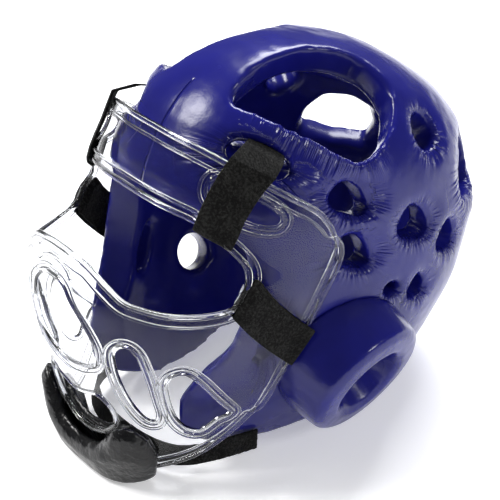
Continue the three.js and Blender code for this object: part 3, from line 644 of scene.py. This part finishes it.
# The crown openings' straight sides are bowed out to a smooth outline, all through the wall.
def roundCrown(points):
    for side in (1, -1):
        scale = [foamSize["halfWidth"] * side, foamSize["frontReach"], foamSize["height"]]
        corners = np.column_stack([crownRim["side"], crownRim["along"], crownRim["level"]]) * scale
        normal = unit(np.array(crownRim["facing"]) * [side, 1, 1])
        across = unit(np.cross([0.0, 1.0, 0.0], normal))
        flat = np.stack([across, np.cross(normal, across)], -1)
        centre = corners.mean(0)
        shares = np.linspace(0, 1, 40, endpoint=False)[:, None]
        pairs = zip(corners, np.roll(corners, -1, 0))
        straight = np.vstack([start * (1 - shares) + end * shares for start, end in pairs])
        straight = (straight - centre) @ flat
        bowed = (smoothLoop(corners, 1200) - centre) @ flat
        bow = bowed[np.linalg.norm(straight[:, None] - bowed[None], axis=2).argmin(1)] - straight
        tree = kdtree.KDTree(len(straight))
        for i, corner in enumerate(straight):
            tree.insert((*corner, 0), i)
        tree.balance()
        found = np.nonzero(np.linalg.norm(points - centre, axis=1) < 0.085)[0]
        spots = [tree.find((*spot, 0))[1:] for spot in (points[found] - centre) @ flat]
        nearest = np.array([spot[0] for spot in spots])
        gaps = np.array([spot[1] for spot in spots])
        points[found] += (bow[nearest] @ flat.T) * np.exp(-((gaps / crownRim["bowReach"]) ** 2))[:, None]
    return points


# The foam's facets are laid back onto its smooth outer face, and its skin is gathered at the holes.
def foamSkin(piece):
    upright = roundCrown(toUpright(meshPoints(piece)))
    facing = pointNormals(piece) @ leanMatrix
    slope = foamSlope(upright)
    steep = np.linalg.norm(slope, axis=1)
    outward = slope / steep[:, None]
    gap = (foamReach(upright) - 1) / steep
    along = (facing * outward).sum(1)
    level = upright[:, 2] / foamSize["height"]
    hold = np.clip((along - 0.86) / 0.1, 0, 1) * (np.abs(gap) < foamSize["snapReach"])
    hold = hold * np.clip((0.985 - level) / 0.06, 0, 1)
    upright = upright - outward * (gap * hold)[:, None]
    place, fade, sink = gatherField(upright)
    fade = fade * np.clip((along + 0.15) / 0.6, 0, 1)
    sink = sink * np.clip((along - 0.1) / 0.5, 0, 1) * foamSize["rimSink"]
    upright = upright - outward * sink[:, None]
    wave = np.sin(place[:, 0] * 0.9 + place[:, 2]) + np.sin(place[:, 1] * 1.1 + 1.7 * place[:, 2])
    upright += facing * (wave * fade * foamSize["gatherHeight"] * 0.5)[:, None]
    movePoints(piece, toRest(upright))
    layer = piece.data.attributes.new("gatherPlace", "FLOAT_VECTOR", "POINT")
    layer.data.foreach_set("vector", place.ravel())
    layer = piece.data.attributes.new("gatherFade", "FLOAT", "POINT")
    layer.data.foreach_set("value", fade)


def makeFoam(vinyl):
    piece = softCopy("foam_shell", "foamBody", foamSize["voxel"], foamSize["rounding"])
    foamSkin(piece)
    applyModifier(piece, "SMOOTH", factor=0.5, iterations=4)
    dress(piece, "foam_shell", vinyl)


# The turned pad's flats are made round again, each ring at its own radius.
def roundEar(piece, side):
    middle = foamPoint(earSize["around"] * side, earSize["level"])
    normal = unit(foamSlope(middle[None])[0])
    middle = middle + normal * earSize["sink"]
    across, along, up = earSize["facing"]
    facing = Vector((across * side, along, up)).normalized()
    turn = np.array(Vector((0, 0, 1)).rotation_difference(facing).to_matrix())
    local = (toUpright(meshPoints(piece)) - middle) @ turn
    plane = local[:, :2] / [1, earSize["stretch"]]
    radius = np.hypot(plane[:, 0], plane[:, 1])
    sector = 2 * np.pi / earSize["sides"]
    lean = np.mod(np.arctan2(plane[:, 0], plane[:, 1]), sector) - sector / 2
    grow = np.cos(lean) / math.cos(sector / 2)
    grow = 1 + (grow - 1) * (radius > earSize["boreCore"])
    local[:, :2] *= grow[:, None]
    movePoints(piece, toRest(local @ turn.T + middle))


def makeEars(vinyl):
    for name, side in (("left", 1), ("right", -1)):
        piece = softCopy(f"ear_pad_{name}", f"earPad.{name}", earSize["voxel"], earSize["rounding"])
        roundEar(piece, side)
        applyModifier(piece, "SMOOTH", factor=0.5, iterations=3)
        dress(piece, f"ear_pad_{name}", vinyl)


def newGrid(name, columns, rows):
    deselectAll()
    bpy.ops.mesh.primitive_grid_add(x_subdivisions=columns, y_subdivisions=rows, size=2)
    piece = bpy.context.object
    piece.name = name
    return piece


# A cutter's walls through the sheet: the outline stretched along a direction.
def loopCutter(name, loop, direction, reach):
    deselectAll()
    bpy.ops.mesh.primitive_cylinder_add(vertices=len(loop), radius=1, depth=2, end_fill_type="NGON")
    piece = bpy.context.object
    piece.name = name
    points = meshPoints(piece)
    lower = np.nonzero(points[:, 2] < 0)[0]
    upper = np.nonzero(points[:, 2] > 0)[0]
    for rows, sign in ((lower, -1), (upper, 1)):
        turn = np.mod(np.arctan2(points[rows, 0], points[rows, 1]), 2 * np.pi)
        order = np.round(turn / (2 * np.pi) * len(loop)).astype(int) % len(loop)
        points[rows] = loop[order] + np.array(direction) * reach * sign
    movePoints(piece, points)
    choose(piece)
    bpy.ops.object.mode_set(mode="EDIT")
    bpy.ops.mesh.select_all(action="SELECT")
    bpy.ops.mesh.normals_make_consistent(inside=False)
    bpy.ops.object.mode_set(mode="OBJECT")
    return piece


# A round bead along a closed line on the sheet, sitting on its middle.
def bead(name, line, radius, closed=True):
    curve = bpy.data.curves.new(name, "CURVE")
    curve.dimensions = "3D"
    spline = curve.splines.new("POLY")
    spline.points.add(len(line) - 1)
    for target, point in zip(spline.points, line):
        target.co = (*point, 1)
    spline.use_cyclic_u = closed
    curve.bevel_depth = radius
    curve.bevel_resolution = 4
    curve.use_fill_caps = True
    piece = bpy.data.objects.new(name, curve)
    bpy.context.collection.objects.link(piece)
    choose(piece)
    bpy.ops.object.convert(target="MESH")
    return bpy.context.object


def sheetLoop(corners, count, depth=0.5, inset=0.0):
    flat = smoothLoop(corners, count)
    points = coverAt(flat[:, 0], flat[:, 1])
    normal = coverNormal(flat[:, 0], flat[:, 1])
    along = unit(np.roll(points, -1, 0) - np.roll(points, 1, 0))
    inward = np.cross(normal, along)
    centre = points.mean(0)
    if ((centre - points) * inward).sum() < 0:
        inward = -inward
    return points - normal * shieldSize["sheet"] * depth - inward * inset


# The sheet's outer edge: along the top from right to left, then back along the bottom.
def edgeLoop(inset=0.0):
    angles = np.linspace(-1, 1, 121) * (shieldEdge["angle"][-1] - inset * 320)
    size = np.abs(angles)
    share = inset / foamSize["height"]
    top = coverPoint(angles, coverTop(size) - share)
    bottom = coverPoint(angles[::-1], coverBottom(size[::-1]) + share)
    loop = smoothLoop(np.vstack([top, bottom])[::3], 300)
    middle = np.array([0.0, 0.02, 0.08])
    return loop - unit(loop - middle) * shieldSize["sheet"] * 0.5


def archLine():
    side = np.linspace(noseArch["side"][0], noseArch["side"][-1], 41)
    level = np.interp(side, noseArch["side"], noseArch["level"])
    return coverAt(side, level) - coverNormal(side, level) * shieldSize["sheet"] * 0.12


def makeShield(clear, rounded):
    sheet = newGrid("shieldSheet", shieldSize["columns"], shieldSize["rows"])
    flat = meshPoints(sheet)
    reach = shieldEdge["angle"][-1]
    angle = reach * (0.5 * np.sin(np.pi / 2 * flat[:, 0]) + 0.5 * flat[:, 0])
    size = np.abs(angle)
    low = coverBottom(size)
    level = low + (coverTop(size) - low) * (flat[:, 1] + 1) / 2
    movePoints(sheet, coverPoint(angle, level))
    choose(sheet)
    bpy.ops.object.mode_set(mode="EDIT")
    bpy.ops.mesh.select_all(action="SELECT")
    bpy.ops.mesh.normals_make_consistent(inside=False)
    bpy.ops.object.mode_set(mode="OBJECT")
    middlePoint = meshPoints(sheet)[len(flat) // 2]
    if pointNormals(sheet)[len(flat) // 2] @ middlePoint < 0:
        choose(sheet)
        bpy.ops.object.mode_set(mode="EDIT")
        bpy.ops.mesh.select_all(action="SELECT")
        bpy.ops.mesh.flip_normals()
        bpy.ops.object.mode_set(mode="OBJECT")
    applyModifier(sheet, "SOLIDIFY", thickness=shieldSize["sheet"], offset=-1, use_even_offset=True)
    holes = [
        ("eye", wholeRim(eyeRim), 120),
        ("nose", wholeRim(noseRim), 64),
        ("mouth", wholeRim(mouthRim), 64),
    ]
    for name, side in (("left", 1), ("right", -1)):
        holes.append((f"breath.{name}", sideRim(breathRim, side), 48))
        holes.append((f"jaw.{name}", sideRim(jawRim, side), 48))
        holes.append((f"slot.{name}", slotOutline(side), 48))
    parts = []
    for name, corners, count in holes:
        loop = sheetLoop(corners, count, 0.5)
        if "." in name:
            flatLoop = smoothLoop(corners, count)
            direction = unit(coverNormal(flatLoop[:, 0], flatLoop[:, 1]).mean(0))
            cutter = loopCutter("cutter", loop, direction, shieldSize["sideCut"])
        else:
            cutter = loopCutter("cutter", loop, (0, -1, 0), shieldSize["frontCut"])
        applyModifier(sheet, "BOOLEAN", object=cutter, operation="DIFFERENCE", solver="EXACT")
        bpy.data.objects.remove(cutter)
        parts.append(bead("rimBead", sheetLoop(corners, count * 2), shieldSize["bead"]))
        inset = shieldSize["ridgeInset"] if name == "eye" else shieldSize["smallInset"]
        if name != "mouth":
            parts.append(bead("rimRidge", sheetLoop(corners, count * 2, 0.12, inset), shieldSize["ridge"]))
    parts.append(bead("noseArch", archLine(), shieldSize["ridge"], closed=False))
    parts.append(bead("edgeBead", edgeLoop(), shieldSize["bead"]))
    parts.append(bead("edgeRidge", edgeLoop(shieldSize["edgeInset"]), shieldSize["ridge"]))
    sheet.data.materials.clear()
    sheet.data.materials.append(clear)
    deselectAll()
    for part in parts:
        part.data.materials.clear()
        part.data.materials.append(rounded)
        part.select_set(True)
    sheet.select_set(True)
    bpy.context.view_layer.objects.active = sheet
    bpy.ops.object.join()
    movePoints(sheet, toRest(meshPoints(sheet)))
    sheet.name = "clearShield"
    dress(sheet, "face_shield")
    choose(sheet)
    bpy.ops.object.shade_smooth_by_angle(angle=math.radians(40))


tapeSize = {
    "nodes": ("brow_strap_left", "brow_strap_right", "cheek_strap_left", "cheek_strap_right", "chin_strap"),
    "voxel": 0.0006,
    "rounding": 5,
}


def makeStraps(tape):
    for node in tapeSize["nodes"]:
        words = node.split("_")
        name = words[0] + "Tape" + "".join("." + word for word in words[2:])
        piece = softCopy(node, name, tapeSize["voxel"], tapeSize["rounding"])
        dress(piece, node, tape)


chinSize = {"voxel": 0.001, "rounding": 14}


def makeChin(black):
    piece = softCopy("chin_pad", "chinPad", chinSize["voxel"], chinSize["rounding"])
    dress(piece, "chin_pad", black)


studio = {
    "floor": (0.93, 0.93, 0.94, 1),
    "sky": (0.96, 0.97, 1.0, 1),
    "skyStrength": 0.17,
    "floorGlow": 0.42,
    "place": (0.639377, -0.497396, 0.588145),
    "right": (0.629, 0.777, -0.03),
    "up": (-0.389, 0.348, 0.853),
    "lens": 108.0,
    "shift": -0.024,
}

# Soft boxes: where each stands, how large it is, its power and tint.
softBoxes = (
    {"name": "keyBox", "place": (-0.9, -0.9, 1.5), "wide": 0.65, "power": 34, "tint": (1.0, 0.99, 0.97)},
    {"name": "topBox", "place": (-0.5, 0.9, 1.4), "wide": 0.8, "power": 34, "tint": (0.96, 0.97, 1.0)},
    {"name": "sideBox", "place": (1.5, 0.6, 0.9), "wide": 0.35, "power": 9, "tint": (1.0, 1.0, 1.0)},
)


def makeStudio():
    deselectAll()
    bpy.ops.mesh.primitive_plane_add(size=8, location=(0, 0, -0.0003))
    floor = bpy.context.object
    floor.name = "floor"
    finish = Finish("paleFloor")
    finish.set({"Base Color": studio["floor"], "Roughness": 0.9, "Specular IOR Level": 0.1})
    finish.set({"Emission Color": studio["floor"], "Emission Strength": studio["floorGlow"]})
    floor.data.materials.append(finish.material)
    world = bpy.data.worlds.new("studio")
    world.use_nodes = True
    back = world.node_tree.nodes["Background"]
    back.inputs["Color"].default_value = studio["sky"]
    back.inputs["Strength"].default_value = studio["skyStrength"]
    bpy.context.scene.world = world
    for box in softBoxes:
        light = bpy.data.lights.new(box["name"], "AREA")
        light.shape = "SQUARE"
        light.size = box["wide"]
        light.energy = box["power"]
        light.color = box["tint"]
        lamp = bpy.data.objects.new(box["name"], light)
        lamp.location = box["place"]
        aim = Vector((0, 0, 0.1)) - Vector(box["place"])
        lamp.rotation_euler = aim.to_track_quat("-Z", "Y").to_euler()
        bpy.context.collection.objects.link(lamp)


def makeCamera():
    camera = bpy.data.cameras.new("photoCamera")
    camera.lens = studio["lens"]
    camera.sensor_width = 36
    camera.shift_x = studio["shift"]
    camera.clip_start = 0.01
    holder = bpy.data.objects.new("photoCamera", camera)
    right = Vector(studio["right"]).normalized()
    up = Vector(studio["up"])
    up = (up - right * up.dot(right)).normalized()
    back = right.cross(up)
    turn = Matrix((right, up, back)).transposed().to_4x4()
    holder.matrix_world = Matrix.Translation(studio["place"]) @ turn
    bpy.context.collection.objects.link(holder)
    bpy.context.scene.camera = holder
    bpy.context.scene.view_settings.view_transform = "Standard"


makeCamera()
makeStudio()
print("studio and camera are set")
vinyl = vinylFinish()
makeFoam(vinyl)
print("foam body is dressed")
makeEars(vinyl)
print("ear pads are dressed")
sheetFinish = clearFinish("clearPolycarbonate", clearLook["sheetIor"])
makeShield(sheetFinish, clearFinish("clearBead", clearLook["beadIor"]))
print("clear shield is made")
makeStraps(tapeFinish())
print("straps are dressed")
makeChin(chinFinish())
print("chin pad is dressed")
